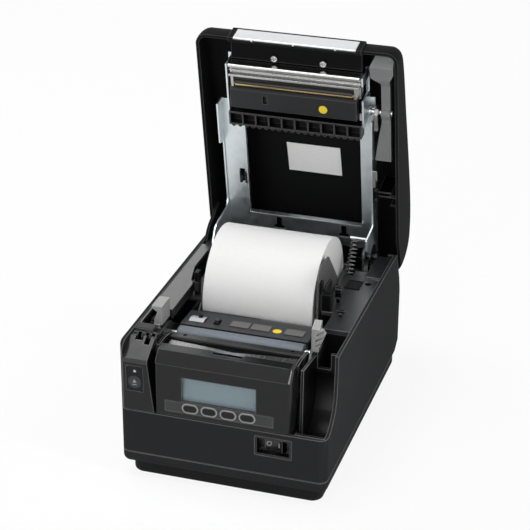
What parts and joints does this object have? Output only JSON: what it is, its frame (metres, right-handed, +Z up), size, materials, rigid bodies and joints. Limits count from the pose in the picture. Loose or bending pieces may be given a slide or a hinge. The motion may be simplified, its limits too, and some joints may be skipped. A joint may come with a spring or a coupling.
{
  "type": "receipt printer",
  "caption": "Desktop receipt printer with a hinged top cover standing open over a paper roll, print head in the cover, platen, cutter, display panel, keys and power switch.",
  "frame": {"origin": "centre of the floor area taken with the cover open, on the table under the feet", "axes": "+Z up, the display panel and switch face -Y, +X to the right seen from the front"},
  "size_m": [0.146, 0.2328, 0.2695],
  "materials": {
    "black_plastic": "fine-grained matt black",
    "base_plastic": "matt black",
    "deck_plastic": "satin dark grey",
    "panel_plastic": "smooth black",
    "grey_plastic": "matt mid grey",
    "white_plastic": "natural white",
    "galvanised_steel": "satin, bluish",
    "bright_steel": "bright",
    "blade_steel": "ground",
    "rubber": "matt",
    "platen_rubber": "ground, blue-grey",
    "paper": "smooth white paper",
    "core_tube": "plain board",
    "display": "pale blue-grey",
    "window": "clear",
    "circuit_board": "green",
    "key_plastic": "dark with a pale rim",
    "silver_trim": "satin silver",
    "ceramic": "glazed ceramic",
    "label_paper": "plain white",
    "light": "clear lens",
    "motor_metal": "dark enamel",
    "socket_plastic": "black"
  },
  "bodies": {
    "case": {"base_tray": "base_plastic", "case_screws": "bright_steel", "chassis_frame": "galvanised_steel", "circuit_boards": "circuit_board", "cover_spring": "bright_steel", "cutter_frame": "galvanised_steel", "cutter_motor": "motor_metal", "deck_clips": "black_plastic", "display_module": "display", "display_panel": "panel_plastic", "display_window": "window", "feed_motor": "motor_metal", "feed_panel": "panel_plastic", "finger_recess": "black_plastic", "fixed_blade": "blade_steel", "guide_plate": "black_plastic", "hinge_pins": "bright_steel", "interface_plate": "galvanised_steel", "key_strip": "key_plastic", "left_bracket": "black_plastic", "left_deck": "deck_plastic", "left_guide_post": "grey_plastic", "lower_case": "black_plastic", "paper_hopper": "black_plastic", "paper_sensor": "socket_plastic", "platen_bearings": "white_plastic", "rear_sockets": "socket_plastic", "right_deck": "deck_plastic", "right_guide_post": "grey_plastic", "rubber_feet": "rubber", "status_light": "light", "switch_housing": "black_plastic", "upper_case": "black_plastic"},
    "cover": {"cover_shell": "black_plastic", "front_strip": "silver_trim", "cover_frame": "galvanised_steel", "head_holder": "black_plastic", "head_bracket": "bright_steel", "print_head": "ceramic", "head_cover": "black_plastic", "comb_guide": "black_plastic", "cover_screws": "bright_steel", "cover_label": "label_paper"},
    "lever": {"release_lever": "grey_plastic", "latch_rod": "bright_steel"},
    "platen": {"platen_roller": "platen_rubber", "platen_shaft": "bright_steel", "platen_gear": "white_plastic"},
    "idler": {"idler_gear": "white_plastic"},
    "pinion": {"motor_pinion": "white_plastic"},
    "roll": {"paper_roll": "paper", "paper_core": "core_tube"},
    "blade": {"moving_blade": "blade_steel"},
    "key_1": {"panel_key_1": "key_plastic"},
    "key_2": {"panel_key_2": "key_plastic"},
    "key_3": {"panel_key_3": "key_plastic"},
    "key_4": {"panel_key_4": "key_plastic"},
    "feed_button": {"feed_key": "key_plastic"},
    "rocker": {"power_rocker": "socket_plastic"}
  },
  "joints": [
    {"name": "cover_hinge", "type": "hinge", "parent": "case", "child": "cover", "pos_m": [0, 0.0726, 0.0989], "axis": [1, 0, 0], "range_deg": [0, 79.4], "deforming": ["cover_spring"]},
    {"name": "lever_hinge", "type": "hinge", "parent": "cover", "child": "lever", "pos_m": [0, 0.06073, 0.21724], "axis": [-1, 0, 0], "range_deg": [0, 5], "stiffness_Nm_per_rad": 0.2},
    {"name": "platen_spin", "type": "hinge", "parent": "case", "child": "platen", "pos_m": [0, -0.0649, 0.0876], "axis": [1, 0, 0], "continuous": true},
    {"name": "idler_spin", "type": "hinge", "parent": "case", "child": "idler", "pos_m": [0, -0.05071, 0.07239], "axis": [1, 0, 0], "continuous": true},
    {"name": "pinion_spin", "type": "hinge", "parent": "case", "child": "pinion", "pos_m": [0, -0.05377, 0.05505], "axis": [1, 0, 0], "continuous": true},
    {"name": "roll_spin", "type": "hinge", "parent": "case", "child": "roll", "pos_m": [0, 0.0131, 0.0935], "axis": [1, 0, 0], "continuous": true},
    {"name": "blade_slide", "type": "slide", "parent": "case", "child": "blade", "axis": [0, 1, 0], "range_m": [0, 0.008]},
    {"name": "key_1_press", "type": "slide", "parent": "case", "child": "key_1", "axis": [0, 1, 0], "range_m": [0, 0.0008], "stiffness_N_per_m": 400},
    {"name": "key_2_press", "type": "slide", "parent": "case", "child": "key_2", "axis": [0, 1, 0], "range_m": [0, 0.0008], "stiffness_N_per_m": 400},
    {"name": "key_3_press", "type": "slide", "parent": "case", "child": "key_3", "axis": [0, 1, 0], "range_m": [0, 0.0008], "stiffness_N_per_m": 400},
    {"name": "key_4_press", "type": "slide", "parent": "case", "child": "key_4", "axis": [0, 1, 0], "range_m": [0, 0.0008], "stiffness_N_per_m": 400},
    {"name": "feed_press", "type": "slide", "parent": "case", "child": "feed_button", "axis": [0, 1, 0], "range_m": [0, 0.0008], "stiffness_N_per_m": 400},
    {"name": "rocker_tip", "type": "hinge", "parent": "case", "child": "rocker", "pos_m": [0.036, -0.1069, 0.0421], "axis": [0, 0, 1], "range_deg": [0, 14]}
  ],
  "couplings": [
    {"joint": "idler_spin", "follows": "platen_spin", "ratio": -0.85714},
    {"joint": "pinion_spin", "follows": "platen_spin", "ratio": 1.5}
  ]
}
